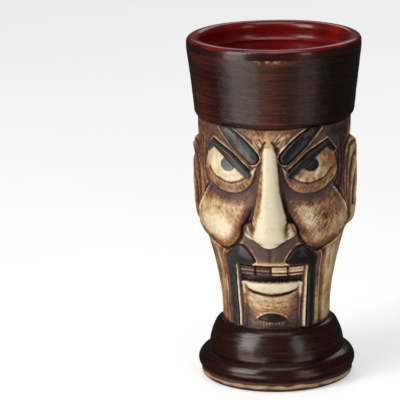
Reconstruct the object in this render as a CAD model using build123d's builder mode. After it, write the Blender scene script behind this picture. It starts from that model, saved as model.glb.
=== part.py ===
from build123d import *
from math import pi
import os

# Ceramic tiki mug: a moustached head under a tall flared hat, on a two-step round pedestal.
#
# +Z is up, the face looks along -Y, and the origin is the centre of the foot's resting face.
# Left and right are the figure's own, so its left side is at +X. All lengths are in millimetres.
# The wall is built from stacked rings, the features of the face are applied to it in relief,
# and the inside has its own coat of glaze.

os.makedirs("parts", exist_ok=True)

# ---------------------------------------------------------------- driving dimensions
MUG_HEIGHT = 170.0
MOUTH_DIAMETER = 75.0  # across the middle of the lip's inner rounding
FOOT_DIAMETER = 70.0  # outer edge of the flat resting face
WALL = 5.75  # clay and inner glaze together, under the relief
GLAZE = 0.8  # thickness of the red coat inside
REACH = 60.0  # longer than the mug's half depth, for cuts and extrusions
FORWARD = (0, -1, 0)  # the way the face looks

# Heights of the seams between the stacked rings
FOOT_TOP = 5.0
STEP_Z = 14.0  # crease between the pedestal's two rings
PEDESTAL_TOP = 29.0
HAT_BOTTOM = 131.0
LIP_BOTTOM = 165.0

# Pedestal radii
SLEEVE_RADIUS = 26.2  # the cup's outside, where the pedestal's rings sit round it
FOOT_EDGE_RADIUS = 37.3
LOWER_RING_RADIUS = 38.6
CREASE_RADIUS = 33.2
UPPER_RING_RADIUS = 32.6
RECESS_RADIUS = 30.5  # edge of the shallow recess under the foot

# Hat radii and roundings
HAT_BOTTOM_RADIUS = 39.0
HAT_TOP_RADIUS = 42.5
HAT_EDGE = 4.0  # height of the rounding along the hat's lower edge
LIP_OUTER_ROUND = 2.6
LIP_INNER_ROUND = 3.0

# Heights inside
FLOOR_BOTTOM = 3.0
CAVITY_FLOOR = 9.5
FLOOR_SEAM = CAVITY_FLOOR - GLAZE  # where the floor's clay ends and its glaze begins

# The head's plain form without its relief: radius and height, from the pedestal to the hat
HEAD_FORM = [
    (SLEEVE_RADIUS, PEDESTAL_TOP),
    (28.0, 50.0),
    (31.3, 65.0),
    (35.2, 80.0),
    (36.8, 100.0),
    (37.0, HAT_BOTTOM),
]

# Relief above the plain form, or below it where negative
BROW_RELIEF = 2.2
LID_RELIEF = 2.4
EYE_RELIEF = 1.5
PUPIL_RELIEF = 2.1
POUCH_RELIEF = 2.6
CHEEK_RELIEF = 3.0
MOUSTACHE_RELIEF = 2.0
LIP_RELIEF = 1.7
PATCH_RELIEF = 1.1
EAR_RELIEF = 3.4
EAR_BOWL_RELIEF = 1.5
TEETH_RELIEF = -0.7
MOUTH_RELIEF = -2.0


# ---------------------------------------------------------------- shared shapes
def form_radius(z):
    """Radius of the plain head form at height z, between the listed points by straight lines."""
    for (r0, z0), (r1, z1) in zip(HEAD_FORM, HEAD_FORM[1:]):
        if z <= z1:
            return r0 + (r1 - r0) * (z - z0) / (z1 - z0)
    return HEAD_FORM[-1][0]


def head_form(extra):
    """Solid of revolution of the plain form with extra added to every radius."""
    with BuildPart() as form:
        with BuildSketch(Plane.XZ):
            with BuildLine():
                side = Spline(*[(r + extra, z) for r, z in HEAD_FORM])
                Polyline(side @ 1, (0, HAT_BOTTOM), (0, PEDESTAL_TOP), side @ 0)
            make_face()
        revolve(axis=Axis.Z)
    return form.part


RELIEFS = (
    BROW_RELIEF,
    LID_RELIEF,
    EYE_RELIEF,
    PUPIL_RELIEF,
    POUCH_RELIEF,
    CHEEK_RELIEF,
    MOUSTACHE_RELIEF,
    LIP_RELIEF,
    PATCH_RELIEF,
    EAR_RELIEF,
    EAR_BOWL_RELIEF,
    TEETH_RELIEF,
    MOUTH_RELIEF,
)
GROWN = {relief: head_form(relief) for relief in RELIEFS}
CORE = head_form(0.0)


def hug_head(relief, base=CORE):
    """Keeps what lies between base and the form grown by relief, inside the open part's block."""
    add(GROWN[relief], mode=Mode.INTERSECT)
    add(base, mode=Mode.SUBTRACT)


def save(part, name):
    """Labels a finished piece and writes it as one node."""
    part.label = name
    export_step(part, f"parts/{name}.step")


# ---------------------------------------------------------------- cavity and its glaze
LIP_INNER_RADIUS = MOUTH_DIAMETER / 2 - LIP_INNER_ROUND / 2  # the mouth under its rounding
LEDGE = 1.0  # a soft step inside the hat
LEDGE_Z = 161.0
CAVITY_CORNER = 7.0
CAVITY_FORM = [(r - WALL, z) for r, z in HEAD_FORM]


def cavity_form(extra):
    """Solid filling the mug's inside from floor to lip seam, grown by extra at floor and wall."""
    floor_z = CAVITY_FLOOR - extra
    floor_radius = SLEEVE_RADIUS - WALL + extra
    with BuildPart() as inside:
        with BuildSketch(Plane.XZ):
            with BuildLine():
                wall = Spline(*[(r + extra, z) for r, z in CAVITY_FORM])
                Polyline(
                    wall @ 1,
                    (LIP_INNER_RADIUS - LEDGE + extra, LEDGE_Z),
                    (LIP_INNER_RADIUS + extra, LEDGE_Z + LEDGE),
                    (LIP_INNER_RADIUS + extra, LIP_BOTTOM),
                    (0, LIP_BOTTOM),
                    (0, floor_z),
                    (floor_radius - CAVITY_CORNER, floor_z),
                )
                RadiusArc(
                    (floor_radius - CAVITY_CORNER, floor_z),
                    (floor_radius, floor_z + CAVITY_CORNER),
                    -CAVITY_CORNER,
                )
                Line((floor_radius, floor_z + CAVITY_CORNER), wall @ 0)
            make_face()
        revolve(axis=Axis.Z)
    return inside.part


DRINK = cavity_form(0.0)
LINED = cavity_form(GLAZE)

with BuildPart() as liner_glaze:
    add(LINED)
    add(DRINK, mode=Mode.SUBTRACT)
save(liner_glaze.part, "liner_glaze")


# ---------------------------------------------------------------- floor and pedestal
with BuildPart() as floor_disc:
    with BuildSketch(Plane.XY.offset(FLOOR_BOTTOM)):
        Circle(SLEEVE_RADIUS)
    extrude(amount=FLOOR_SEAM - FLOOR_BOTTOM)
save(floor_disc.part, "floor_disc")

FOOT_ROUND_Z = 3.2  # where the rounding from the resting face reaches the foot's full radius

with BuildPart() as foot_ring:
    with BuildSketch(Plane.XZ):
        with BuildLine():
            Polyline(
                (SLEEVE_RADIUS, FOOT_TOP),
                (SLEEVE_RADIUS, FLOOR_BOTTOM),
                (RECESS_RADIUS - 1.0, FLOOR_BOTTOM),
                (RECESS_RADIUS, 0),
                (FOOT_DIAMETER / 2, 0),
            )
            ThreePointArc(
                (FOOT_DIAMETER / 2, 0), (FOOT_EDGE_RADIUS - 0.6, 1.1), (FOOT_EDGE_RADIUS, FOOT_ROUND_Z)
            )
            Polyline(
                (FOOT_EDGE_RADIUS, FOOT_ROUND_Z), (FOOT_EDGE_RADIUS, FOOT_TOP), (SLEEVE_RADIUS, FOOT_TOP)
            )
        make_face()
    revolve(axis=Axis.Z)
save(foot_ring.part, "foot_ring")

RING_SHOULDER = (35.6, 13.0)  # where the lower ring's round turns in to the crease

with BuildPart() as lower_base_ring:
    with BuildSketch(Plane.XZ):
        with BuildLine():
            Line((SLEEVE_RADIUS, STEP_Z), (SLEEVE_RADIUS, FOOT_TOP))
            Line((SLEEVE_RADIUS, FOOT_TOP), (FOOT_EDGE_RADIUS, FOOT_TOP))
            ThreePointArc((FOOT_EDGE_RADIUS, FOOT_TOP), (LOWER_RING_RADIUS, 8.5), RING_SHOULDER)
            Line(RING_SHOULDER, (CREASE_RADIUS, STEP_Z))
            Line((CREASE_RADIUS, STEP_Z), (SLEEVE_RADIUS, STEP_Z))
        make_face()
    revolve(axis=Axis.Z)
save(lower_base_ring.part, "lower_base_ring")

BELL_SHOULDER = (30.4, 25.5)  # where the upper ring's side turns over to its top

with BuildPart() as upper_base_ring:
    with BuildSketch(Plane.XZ):
        with BuildLine():
            Line((SLEEVE_RADIUS, PEDESTAL_TOP), (SLEEVE_RADIUS, STEP_Z))
            Line((SLEEVE_RADIUS, STEP_Z), (CREASE_RADIUS, STEP_Z))
            ThreePointArc((CREASE_RADIUS, STEP_Z), (UPPER_RING_RADIUS, 19.5), BELL_SHOULDER)
            ThreePointArc(BELL_SHOULDER, (29.2, 27.5), (SLEEVE_RADIUS, PEDESTAL_TOP))
        make_face()
    revolve(axis=Axis.Z)
save(upper_base_ring.part, "upper_base_ring")


# ---------------------------------------------------------------- head wall and hat
SPIGOT_RADIUS = 34.3  # the head wall's top ring enters the hat by this radius
SPIGOT_HEIGHT = 4.0
MOUTH_HALF_WIDTH = 16.6
MOUTH_TOP = 61.2
MOUTH_CORNER = (15.4, 52.6)
MOUTH_MIDDLE_Z = 53.8  # the mouth's lower edge at the centre
TEETH_BOTTOM = 56.6

with BuildSketch(Plane.XZ) as mouth_outline:
    with BuildLine():
        lower_edge = ThreePointArc(
            MOUTH_CORNER, (0, MOUTH_MIDDLE_Z), (-MOUTH_CORNER[0], MOUTH_CORNER[1])
        )
        Polyline(
            lower_edge @ 1,
            (-MOUTH_HALF_WIDTH, MOUTH_TOP),
            (MOUTH_HALF_WIDTH, MOUTH_TOP),
            lower_edge @ 0,
        )
    make_face()

with BuildPart() as mouth_pocket:
    extrude(mouth_outline.sketch, amount=REACH, dir=FORWARD)
    hug_head(BROW_RELIEF, base=GROWN[MOUTH_RELIEF])

with BuildPart() as head_shell:
    add(CORE)
    with BuildSketch(Plane.XY.offset(FLOOR_SEAM)):
        Circle(SLEEVE_RADIUS)
    extrude(amount=PEDESTAL_TOP - FLOOR_SEAM)
    with BuildSketch(Plane.XY.offset(HAT_BOTTOM)):
        Circle(SPIGOT_RADIUS)
    extrude(amount=SPIGOT_HEIGHT)
    add(LINED, mode=Mode.SUBTRACT)
    add(mouth_pocket.part, mode=Mode.SUBTRACT)
save(head_shell.part, "head_shell")

with BuildPart() as hat_band:
    with BuildSketch(Plane.XZ):
        with BuildLine():
            underside = Line((0, HAT_BOTTOM), (HAT_BOTTOM_RADIUS - 2.4, HAT_BOTTOM))
            ThreePointArc(
                underside @ 1,
                (HAT_BOTTOM_RADIUS - 0.8, HAT_BOTTOM + 1.3),
                (HAT_BOTTOM_RADIUS, HAT_BOTTOM + HAT_EDGE),
            )
            side = Spline(
                (HAT_BOTTOM_RADIUS, HAT_BOTTOM + HAT_EDGE),
                (40.2, 146.0),
                (HAT_TOP_RADIUS, LIP_BOTTOM),
            )
            Polyline(side @ 1, (0, LIP_BOTTOM), (0, HAT_BOTTOM))
        make_face()
    revolve(axis=Axis.Z)
    with BuildSketch(Plane.XY.offset(HAT_BOTTOM)):
        Circle(SPIGOT_RADIUS)
    extrude(amount=SPIGOT_HEIGHT, mode=Mode.SUBTRACT)
    add(LINED, mode=Mode.SUBTRACT)
save(hat_band.part, "hat_band")

with BuildPart() as rim_lip:
    with BuildSketch(Plane.XZ):
        with BuildLine():
            Polyline(
                (LIP_INNER_RADIUS, MUG_HEIGHT - LIP_INNER_ROUND),
                (LIP_INNER_RADIUS, LIP_BOTTOM),
                (HAT_TOP_RADIUS, LIP_BOTTOM),
                (HAT_TOP_RADIUS, MUG_HEIGHT - LIP_OUTER_ROUND),
            )
            RadiusArc(
                (HAT_TOP_RADIUS, MUG_HEIGHT - LIP_OUTER_ROUND),
                (HAT_TOP_RADIUS - LIP_OUTER_ROUND, MUG_HEIGHT),
                -LIP_OUTER_ROUND,
            )
            Line(
                (HAT_TOP_RADIUS - LIP_OUTER_ROUND, MUG_HEIGHT),
                (LIP_INNER_RADIUS + LIP_INNER_ROUND, MUG_HEIGHT),
            )
            RadiusArc(
                (LIP_INNER_RADIUS + LIP_INNER_ROUND, MUG_HEIGHT),
                (LIP_INNER_RADIUS, MUG_HEIGHT - LIP_INNER_ROUND),
                -LIP_INNER_ROUND,
            )
        make_face()
    revolve(axis=Axis.Z)
save(rim_lip.part, "rim_lip")


# ---------------------------------------------------------------- middle of the face
NOSE_SECTIONS = [  # height, half width, how far the ridge stands out of the plain form
    (124.0, 2.8, 1.4),
    (110.0, 4.2, 4.2),
    (97.0, 5.4, 6.4),
    (86.0, 7.2, 8.4),
    (79.0, 7.6, 8.8),
    (73.6, 4.6, 5.6),
]
NOSE_ROOT = 3.0  # how far each section is sunk into the form
WING_X, WING_Z, WING_RADIUS = 8.6, 79.6, 4.0

with BuildPart() as nose:
    for z, half_width, stand in NOSE_SECTIONS:
        with BuildSketch(Plane.XY.offset(z)):
            with Locations((0, NOSE_ROOT - form_radius(z))):
                Ellipse(half_width, stand + NOSE_ROOT)
    loft()
    for side in (-1, 1):
        with Locations((side * WING_X, -form_radius(WING_Z), WING_Z)):
            Sphere(WING_RADIUS)
    add(CORE, mode=Mode.SUBTRACT)
save(nose.part, "nose")

with BuildPart() as upper_teeth:
    extrude(mouth_outline.sketch, amount=REACH, dir=FORWARD)
    split(bisect_by=Plane.XY.offset(TEETH_BOTTOM), keep=Keep.TOP)
    hug_head(TEETH_RELIEF, base=GROWN[MOUTH_RELIEF])
save(upper_teeth.part, "upper_teeth")

with BuildPart() as lower_lip:
    with BuildSketch(Plane.XZ):
        with BuildLine():
            upper_edge = ThreePointArc((-14.0, 51.8), (0, 53.0), (14.0, 51.8))
            ThreePointArc(upper_edge @ 1, (0, 47.6), upper_edge @ 0)
        make_face()
    extrude(amount=REACH)
    hug_head(LIP_RELIEF)
save(lower_lip.part, "lower_lip")

with BuildPart() as soul_patch:
    with BuildSketch(Plane.XZ):
        with BuildLine():
            upper_edge = ThreePointArc((-6.4, 34.4), (0, 36.7), (6.4, 34.4))
            ThreePointArc(upper_edge @ 1, (0, 33.4), upper_edge @ 0)
        make_face()
    extrude(amount=REACH)
    hug_head(PATCH_RELIEF)
save(soul_patch.part, "soul_patch")


# ---------------------------------------------------------------- left eye
EYE_X, EYE_Z = 20.0, 112.2  # centre of the eyeball in the front view
EYE_HALF_WIDTH, EYE_HALF_HEIGHT = 10.8, 8.8
PUPIL_Z, PUPIL_RADIUS = 113.2, 3.3
POUCH_WIDTH, POUCH_DROP = 3.0, 3.6  # the pouch's margin beside and below the eyeball

with BuildPart() as left_eyebrow:
    with BuildSketch(Plane.XZ):
        with BuildLine():
            upper = Spline((6.0, 118.2), (13.2, 125.9), (21.2, HAT_BOTTOM))
            top = Line(upper @ 1, (25.2, HAT_BOTTOM))
            lower = Spline(top @ 1, (17.4, 122.0), (9.2, 114.4))
            ThreePointArc(lower @ 1, (6.2, 115.2), upper @ 0)
        make_face()
    extrude(amount=REACH)
    hug_head(BROW_RELIEF)

with BuildPart() as left_upper_lid:
    with BuildSketch(Plane.XZ):
        with BuildLine():
            slab = Polyline(
                (9.4, 109.8),
                (18.9, 118.6),
                (28.4, 124.0),
                (31.6, 118.6),
                (30.4, 118.0),
                (27.4, 121.2),
                (21.6, 116.4),
                (11.4, 107.6),
            )
            ThreePointArc(slab @ 1, (9.2, 107.6), slab @ 0)
        make_face()
    extrude(amount=REACH)
    hug_head(LID_RELIEF)

with BuildPart() as left_eyeball:
    with BuildSketch(Plane.XZ):
        with Locations((EYE_X, EYE_Z)):
            Ellipse(EYE_HALF_WIDTH, EYE_HALF_HEIGHT)
    extrude(amount=REACH)
    hug_head(EYE_RELIEF)
    add(left_upper_lid.part, mode=Mode.SUBTRACT)
    below_lid = left_eyeball.solids().sort_by(Axis.Z)[0]
    add(below_lid, mode=Mode.INTERSECT)

with BuildPart() as left_pupil:
    with BuildSketch(Plane.XZ):
        with Locations((EYE_X, PUPIL_Z)):
            Circle(PUPIL_RADIUS)
    extrude(amount=REACH)
    hug_head(PUPIL_RELIEF, base=GROWN[EYE_RELIEF])
    add(left_upper_lid.part, mode=Mode.SUBTRACT)
    below_lid = left_pupil.solids().sort_by(Axis.Z)[0]
    add(below_lid, mode=Mode.INTERSECT)

with BuildPart() as left_lower_lid:
    with BuildSketch(Plane.XZ):
        with Locations((EYE_X, EYE_Z)):
            Ellipse(EYE_HALF_WIDTH + POUCH_WIDTH, EYE_HALF_HEIGHT + POUCH_DROP)
            Ellipse(EYE_HALF_WIDTH, EYE_HALF_HEIGHT, mode=Mode.SUBTRACT)
        with Locations((EYE_X, EYE_Z + EYE_HALF_HEIGHT)):
            Rectangle(40, 21, rotation=6, mode=Mode.SUBTRACT)
    extrude(amount=REACH)
    hug_head(POUCH_RELIEF)
    add(left_upper_lid.part, mode=Mode.SUBTRACT)


# ---------------------------------------------------------------- left cheek, moustache and ear
with BuildPart() as left_cheek:
    with BuildSketch(Plane.XZ):
        with BuildLine():
            Spline(
                (12.8, 85.0),
                (16.4, 76.2),
                (22.6, 70.8),
                (29.4, 71.6),
                (33.0, 80.0),
                (29.6, 92.0),
                (19.0, 95.0),
                periodic=True,
            )
        make_face()
    extrude(amount=REACH)
    hug_head(CHEEK_RELIEF)

with BuildPart() as left_moustache:
    with BuildSketch(Plane.XZ):
        with BuildLine():
            tail = Polyline(
                (8.2, 64.6),
                (10.6, 62.8),
                (18.4, 62.6),
                (18.4, 60.0),
                (17.0, PEDESTAL_TOP),
                (19.6, PEDESTAL_TOP),
                (21.2, 60.0),
                (22.4, 65.2),
            )
            Spline(tail @ 1, (18.6, 70.4), (15.0, 72.6), (12.6, 71.2), tail @ 0)
        make_face()
    extrude(amount=REACH)
    hug_head(MOUSTACHE_RELIEF)

EAR_SIDE = Plane(origin=(0, 0, 0), x_dir=(0, 1, 0), z_dir=(1, 0, 0))
EAR_OUTLINE = [(-4.0, 117.0), (3.0, 120.5), (10.0, 115.0), (10.5, 100.0), (5.0, 80.0), (-2.0, 75.5)]
EAR_BOWL = [(-2.0, 112.0), (2.6, 115.0), (6.2, 111.0), (6.0, 100.0), (2.4, 90.0), (-2.6, 88.0)]

with BuildPart() as ear_bowl:
    with BuildSketch(EAR_SIDE):
        with BuildLine():
            Spline(*EAR_BOWL)
            Line(EAR_BOWL[-1], EAR_BOWL[0])
        make_face()
    extrude(amount=REACH)
    hug_head(EAR_RELIEF, base=GROWN[EAR_BOWL_RELIEF])

with BuildPart() as left_ear:
    with BuildSketch(EAR_SIDE):
        with BuildLine():
            Spline(*EAR_OUTLINE)
            Line(EAR_OUTLINE[-1], EAR_OUTLINE[0])
        make_face()
    extrude(amount=REACH)
    hug_head(EAR_RELIEF)
    add(ear_bowl.part, mode=Mode.SUBTRACT)


# ---------------------------------------------------------------- both sides
LEFT_PIECES = {
    "eyebrow": left_eyebrow.part,
    "upper_lid": left_upper_lid.part,
    "eyeball": left_eyeball.part,
    "pupil": left_pupil.part,
    "lower_lid": left_lower_lid.part,
    "cheek": left_cheek.part,
    "moustache": left_moustache.part,
    "ear": left_ear.part,
}
for name, piece in LEFT_PIECES.items():
    save(piece, f"left_{name}")
    with BuildPart() as right_piece:
        mirror(piece, about=Plane.YZ)
    save(right_piece.part, f"right_{name}")

lip_volume = pi * LIP_INNER_RADIUS**2 * (MUG_HEIGHT - LIP_BOTTOM)
print(f"capacity to the brim: about {(DRINK.volume + lip_volume) / 1000:.0f} ml")
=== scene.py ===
from math import cos, pi, radians, sin

import bmesh
import bpy
import numpy as np
from mathutils import Matrix, Vector
from mathutils.geometry import delaunay_2d_cdt


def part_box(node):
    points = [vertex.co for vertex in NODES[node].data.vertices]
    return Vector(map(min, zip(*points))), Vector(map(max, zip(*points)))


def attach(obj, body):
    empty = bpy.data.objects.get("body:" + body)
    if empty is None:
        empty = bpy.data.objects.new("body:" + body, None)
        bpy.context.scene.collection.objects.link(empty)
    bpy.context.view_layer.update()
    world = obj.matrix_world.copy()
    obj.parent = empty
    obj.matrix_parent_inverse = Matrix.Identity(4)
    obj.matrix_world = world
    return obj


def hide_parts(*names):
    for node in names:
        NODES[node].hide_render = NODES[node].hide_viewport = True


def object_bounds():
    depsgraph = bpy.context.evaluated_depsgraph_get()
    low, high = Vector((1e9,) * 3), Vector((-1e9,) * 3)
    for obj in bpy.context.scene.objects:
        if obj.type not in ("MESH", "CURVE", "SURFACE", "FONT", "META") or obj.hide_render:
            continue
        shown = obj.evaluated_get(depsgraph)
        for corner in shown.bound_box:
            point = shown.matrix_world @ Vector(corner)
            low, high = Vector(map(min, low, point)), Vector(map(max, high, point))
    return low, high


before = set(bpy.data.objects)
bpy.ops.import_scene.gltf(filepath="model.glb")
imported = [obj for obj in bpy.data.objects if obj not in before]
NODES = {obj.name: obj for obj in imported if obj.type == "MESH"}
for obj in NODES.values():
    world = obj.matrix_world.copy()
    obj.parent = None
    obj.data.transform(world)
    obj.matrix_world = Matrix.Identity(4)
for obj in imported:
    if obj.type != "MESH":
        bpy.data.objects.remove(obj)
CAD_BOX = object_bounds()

# A ceramic mug: a moustached head under a flared hat, on a two-step base.
# The sculpting works in millimetres. Directions round the mug are degrees from the front (-Y),
# positive towards +X, which is the figure's own left and the viewer's right.

MM = 0.001
SIDES = ("left", "right")
NEARBY = 9  # mm: distances are measured this far beyond a line's box
FAR = 99.0  # stands for all that is further away, in mm


# ----- small mathematics


def unit(value):
    """The value held between 0 and 1."""
    return np.clip(value, 0, 1)


def step(low, high, value):
    """Rises smoothly from 0 at low to 1 at high."""
    t = unit((value - low) / (high - low))
    return t * t * (3 - 2 * t)


def quarter_round(value):
    """Rises from 0 at 0 to 1 at 1 as a quarter circle does, steep first."""
    return np.sqrt(unit(1 - (1 - unit(value)) ** 2))


def hump(distance, width):
    """1 at distance 0, fading out over about twice the width."""
    return np.exp(-((distance / width) ** 2))


def blend_max(a, b, softness):
    """The larger of two heights, with the crease between them filled over the softness."""
    h = unit(0.5 + 0.5 * (a - b) / softness)
    return b * (1 - h) + a * h + softness * h * (1 - h)


def ripple(seed, turn, z, lobes, waves, count=9):
    """Seeded unevenness of about -1 to 1, with at most so many lobes round and radians per mm upwards."""
    rng = np.random.default_rng(seed)
    total = np.zeros(np.broadcast(turn, z).shape)
    for _ in range(count):
        around = rng.integers(1, lobes + 1)
        upward = rng.uniform(-waves, waves)
        total = total + np.sin(around * turn + upward * z + rng.uniform(0, 2 * pi))
    return total / count**0.5 / 1.4


def smooth_line(points):
    """Points along a smooth curve through the given points, with eight steps between each pair."""
    p = np.array(points, float)
    ends = np.vstack([2 * p[0] - p[1], p, 2 * p[-1] - p[-2]])
    t = np.linspace(0, 1, 8, endpoint=False)[:, None]
    parts = []
    for a, b, c, d in zip(ends, ends[1:], ends[2:], ends[3:]):
        curve = 2 * b + (c - a) * t + (2 * a - 5 * b + 4 * c - d) * t**2
        parts.append(0.5 * (curve + (3 * b - a - 3 * c + d) * t**3))
    parts.append(p[-1:])
    return np.vstack(parts)


def line_gap(x, y, line):
    """Distance from points to a line of straight pieces, and the side: above 0 on the left of its run."""
    gap = np.full(x.shape, FAR)
    side = np.ones(x.shape)
    low, high = line.min(0) - NEARBY, line.max(0) + NEARBY
    near = (x > low[0]) & (x < high[0]) & (y > low[1]) & (y < high[1])
    px, py = x[near], y[near]
    best, best_side = np.full(px.shape, FAR), np.ones(px.shape)
    for (ax, ay), (bx, by) in zip(line[:-1], line[1:]):
        dx, dy = bx - ax, by - ay
        t = unit(((px - ax) * dx + (py - ay) * dy) / (dx * dx + dy * dy + 1e-12))
        ex, ey = px - ax - t * dx, py - ay - t * dy
        distance = np.hypot(ex, ey)
        closer = distance < best
        best[closer] = distance[closer]
        best_side[closer] = np.sign(dx * ey - dy * ex)[closer]
    gap[near] = best
    side[near] = best_side
    return gap, side


def loop_gap(x, y, loop):
    """Signed distance from points to a closed outline: above 0 inside it."""
    gap, _ = line_gap(x, y, np.vstack([loop, loop[:1]]))
    within = np.zeros(x.shape, bool)
    for (ax, ay), (bx, by) in zip(loop, np.roll(loop, -1, 0)):
        crosses = (ay > y) != (by > y)
        within ^= crosses & (x < ax + (y - ay) / (by - ay + 1e-12) * (bx - ax))
    return np.where(within, gap, -gap)


def blurred(grid, radius):
    """The grid smoothed both ways by a bell of the given radius, in cells. Columns wrap round."""
    reach = int(radius * 2.5) + 1
    bell = np.exp(-0.5 * (np.arange(-reach, reach + 1) / radius) ** 2)
    bell /= bell.sum()
    wrapped = np.hstack([grid[:, -reach:], grid, grid[:, :reach]])
    across = sum(w * wrapped[:, i:i + grid.shape[1]] for i, w in enumerate(bell))
    padded = np.vstack([across[:1]] * reach + [across] + [across[-1:]] * reach)
    return sum(w * padded[i:i + grid.shape[0]] for i, w in enumerate(bell))


# ----- what the frame measures

SECTION_TURN = radians(3)  # the cutting half plane stands this far round from straight behind


def chained(edges):
    """Vertices of a set of edges in order: a closed run, or an open one from end to end."""
    links = {}
    for edge in edges:
        a, b = edge.verts
        links.setdefault(a, []).append(b)
        links.setdefault(b, []).append(a)
    ends = [v for v, others in links.items() if len(others) == 1]
    start = ends[0] if ends else next(iter(links))
    run, last = [start], None
    while True:
        onward = [v for v in links[run[-1]] if v is not last]
        if not onward or onward[0] is start:
            return run
        last = run[-1]
        run.append(onward[0])


def merged(node):
    """A CAD node's mesh to work on, with its doubled points merged."""
    work = bmesh.new()
    work.from_mesh(NODES[node].data)
    bmesh.ops.remove_doubles(work, verts=work.verts, dist=1e-7)
    return work


def section(node):
    """The node's outline (radius, height) in mm where a half plane behind the axis cuts it."""
    work = merged(node)
    everything = work.verts[:] + work.edges[:] + work.faces[:]
    across = (cos(SECTION_TURN), -sin(SECTION_TURN), 0)
    cut = bmesh.ops.bisect_plane(work, geom=everything, plane_co=(0, 0, 0), plane_no=across)
    edges = [g for g in cut["geom_cut"] if isinstance(g, bmesh.types.BMEdge)]
    behind = [e for e in edges if min(v.co.y for v in e.verts) > -1e-7]
    outline = [(np.hypot(v.co.x, v.co.y) / MM, v.co.z / MM) for v in chained(behind)]
    work.free()
    return np.array(outline)


def finer(outline, longest, closed=True):
    """The outline with points added so that no straight piece is longer than asked."""
    points = []
    ends = np.vstack([outline, outline[:1]]) if closed else outline
    for a, b in zip(ends[:-1], ends[1:]):
        count = max(1, int(np.ceil(np.hypot(*(b - a)) / longest)))
        points += [a + (b - a) * i / count for i in range(count)]
    if not closed:
        points.append(ends[-1])
    return np.array(points)


HEAD_SECTION = section("head_shell")
HEAD_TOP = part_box("hat_band")[0].z / MM
HEAD_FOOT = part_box("upper_base_ring")[1].z / MM


def nearest(outline, radius, height):
    return int(np.argmin(np.hypot(outline[:, 0] - radius, outline[:, 1] - height)))


def head_stretches():
    """The head's section split into its outer side, going up, and the hidden rest, in order."""
    outline = HEAD_SECTION
    at_top = np.abs(outline[:, 1] - HEAD_TOP) < 0.2
    at_foot = np.abs(outline[:, 1] - HEAD_FOOT) < 0.2
    top = nearest(outline, outline[at_top, 0].max(), HEAD_TOP)
    foot = nearest(outline, outline[at_foot, 0].max(), HEAD_FOOT)
    turned = np.roll(outline, -foot, 0)
    span = (top - foot) % len(outline)
    if turned[1, 1] < turned[0, 1] + 0.01:
        turned = np.roll(turned[::-1], 1, 0)
        span = len(outline) - span
    return turned[:span + 1], turned[span + 1:]


HEAD_SIDE, HEAD_HIDDEN = head_stretches()


def head_radius(z):
    """Radius of the plain head at a height, both in mm, with the profile's corners eased."""
    nearby = (-1.6, -0.8, 0, 0.8, 1.6)
    return sum(np.interp(z + offset, HEAD_SIDE[:, 1], HEAD_SIDE[:, 0]) for offset in nearby) / len(nearby)


def on_head(points):
    """(degrees round, height) points as (mm round the head's surface, height)."""
    p = np.array(points, float)
    return np.column_stack([np.radians(p[:, 0]) * head_radius(p[:, 1]), p[:, 1]])


def drawn(points):
    """A smooth line through (degrees round, height) points, laid on the head's surface."""
    return on_head(smooth_line(points))


def face_outline(node):
    """The edge of a node's outer face, as (mm round the surface, height), and how far it stands out."""
    work = merged(node)
    work.normal_update()
    forward = {f for f in work.faces if f.normal.y < -0.05}
    rim = [e for e in work.edges if sum(f in forward for f in e.link_faces) == 1]
    places = np.array([v.co for v in chained(rim)]) / MM
    turn = np.degrees(np.arctan2(places[:, 0], -places[:, 1]))
    stand = np.hypot(places[:, 0], places[:, 1]) - head_radius(places[:, 2])
    work.free()
    return on_head(np.column_stack([turn, places[:, 2]])), float(np.median(stand))


OUTLINES = {}
STANDS = {}
for feature in ("eyebrow", "upper_lid", "pupil", "moustache"):
    OUTLINES[feature], STANDS[feature] = face_outline("left_" + feature)
for feature in ("soul_patch", "upper_teeth"):
    OUTLINES[feature], STANDS[feature] = face_outline(feature)
MOUTH_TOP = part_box("upper_teeth")[1].z / MM + 0.6


# ----- the skin's grid

ROW_STEP = 0.4  # mm
FRONT_HALF, FRONT_STEP = 62, 0.62  # degrees
SIDE_HALF, SIDE_STEP = 106, 1
BACK_STEP = 2.4


def column_turns():
    front = np.arange(-FRONT_HALF, FRONT_HALF + 0.01, FRONT_STEP)
    flank = np.arange(FRONT_HALF + SIDE_STEP, SIDE_HALF, SIDE_STEP)
    back = np.linspace(SIDE_HALF, 360 - SIDE_HALF, int((360 - 2 * SIDE_HALF) / BACK_STEP))
    return np.concatenate([-flank[::-1], front, flank, back])


TURNS = column_turns()
HEIGHTS = np.linspace(HEAD_FOOT, HEAD_TOP, int((HEAD_TOP - HEAD_FOOT) / ROW_STEP) + 1)
turn_grid, Z = np.meshgrid(TURNS, HEIGHTS)
TURN = (turn_grid + 180) % 360 - 180
OUT = np.abs(TURN)  # degrees round from the front, the same on both sides
ANGLE = np.radians(TURN)
ROUND = np.radians(OUT) * head_radius(Z)  # mm round the surface
LEFT = step(-1.5, 1.5, TURN)  # 1 on the figure's left
RIGHT = 1 - LEFT


def out(low, high):
    """Rises from 0 to 1 between two places on each side, in degrees round from the front."""
    return step(low, high, OUT)


def up(low, high):
    """Rises from 0 to 1 between two heights, in mm."""
    return step(low, high, Z)


def beyond(degrees):
    """How far every skin point lies outwards of a place on each side, in mm round the surface."""
    return np.radians(OUT - degrees) * head_radius(Z)


def height_of(line):
    """The height of a line of (degrees, mm) points above or below every skin point."""
    return np.interp(OUT, *np.transpose(line))


def from_line(points):
    """Distance and side of every skin point from a drawn line."""
    return line_gap(ROUND, Z, drawn(points))


def from_outline(feature):
    """Signed distance of every skin point from a feature's outline: above 0 inside."""
    return loop_gap(ROUND, Z, OUTLINES[feature])


def zone(turn, z, width, height):
    """A soft spot centred at (degrees, mm): 1 at its middle, 0 outside its half width and half height."""
    return 1 - step(0.35, 1, np.hypot(beyond(turn) / width, (Z - z) / height))


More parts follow.
